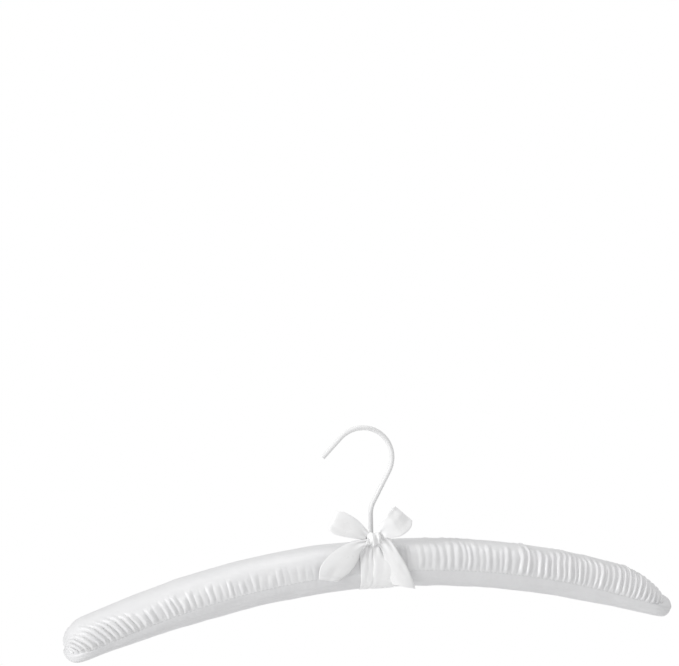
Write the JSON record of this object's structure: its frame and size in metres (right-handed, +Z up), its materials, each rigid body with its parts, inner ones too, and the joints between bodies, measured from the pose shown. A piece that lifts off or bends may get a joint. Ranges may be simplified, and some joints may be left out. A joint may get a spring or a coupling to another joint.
{
  "type": "padded clothes hanger",
  "caption": "White satin padded clothes hanger with gathered bowed arms, plain lower panels, a ribbon bow and a swivelling sleeved wire hook.",
  "frame": {"origin": "hook seat: the highest point of the hook's inside curve, where a rail carries the hanger", "axes": "+X along the arms, +Y away from the side with the bow, +Z up"},
  "size_m": [0.3902, 0.0377, 0.1362],
  "materials": {
    "vinyl": "satin",
    "steel": "satin",
    "wood": "matte",
    "foam": "matte",
    "satin_cover": "satin",
    "satin_strip": "satin",
    "satin_ribbon": "satin",
    "thread": "satin"
  },
  "bodies": {
    "hook": {"hook_sleeve": "vinyl", "hook_wire": "steel", "washer": "steel"},
    "hanger_body": {"core": "wood", "foam_left": "foam", "foam_right": "foam", "cover_left": "satin_cover", "cover_right": "satin_cover", "strip_left": "satin_strip", "strip_right": "satin_strip", "seam_thread_left": "thread", "seam_thread_right": "thread", "centre_thread": "thread", "ribbon_wrap": "satin_ribbon", "bow_knot": "satin_ribbon", "bow_loop_left": "satin_ribbon", "bow_loop_right": "satin_ribbon", "bow_tail_left": "satin_ribbon", "bow_tail_right": "satin_ribbon"}
  },
  "joints": [
    {"name": "hook_swivel", "type": "hinge", "parent": "hook", "child": "hanger_body", "pos_m": [0.0045, 0, -0.0752], "axis": [0, 0, 1], "continuous": true}
  ]
}
